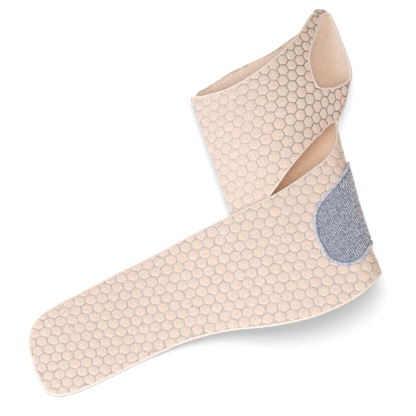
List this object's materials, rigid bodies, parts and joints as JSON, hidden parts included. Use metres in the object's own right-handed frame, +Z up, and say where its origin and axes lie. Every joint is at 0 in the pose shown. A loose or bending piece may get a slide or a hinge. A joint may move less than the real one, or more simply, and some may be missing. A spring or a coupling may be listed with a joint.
{
  "type": "wrist support",
  "caption": "Padded fabric wrist wrap with a thumb hole: a loop for the palm and a crossing strap that fastens to a pad at its fold, lying unworn.",
  "frame": {"origin": "on the flat underside of the back wall, under the middle of the palm loop", "axes": "+X across the palm from the left fold to the thumb's side, +Y along the hand towards the fingers, +Z up from the surface it lies on"},
  "size_m": [0.2857, 0.2316, 0.0404],
  "materials": {
    "wrap": "pinkish beige padded knit with a grey hexagon pattern, tan lining",
    "fastener_pad": "blue-grey pile in diagonal rows",
    "pad_edging": "light blue-grey overlocked thread"
  },
  "bodies": {
    "root": {"wrap": "wrap", "fastener_pad": "fastener_pad", "pad_edging": "pad_edging"}
  },
  "joints": []
}
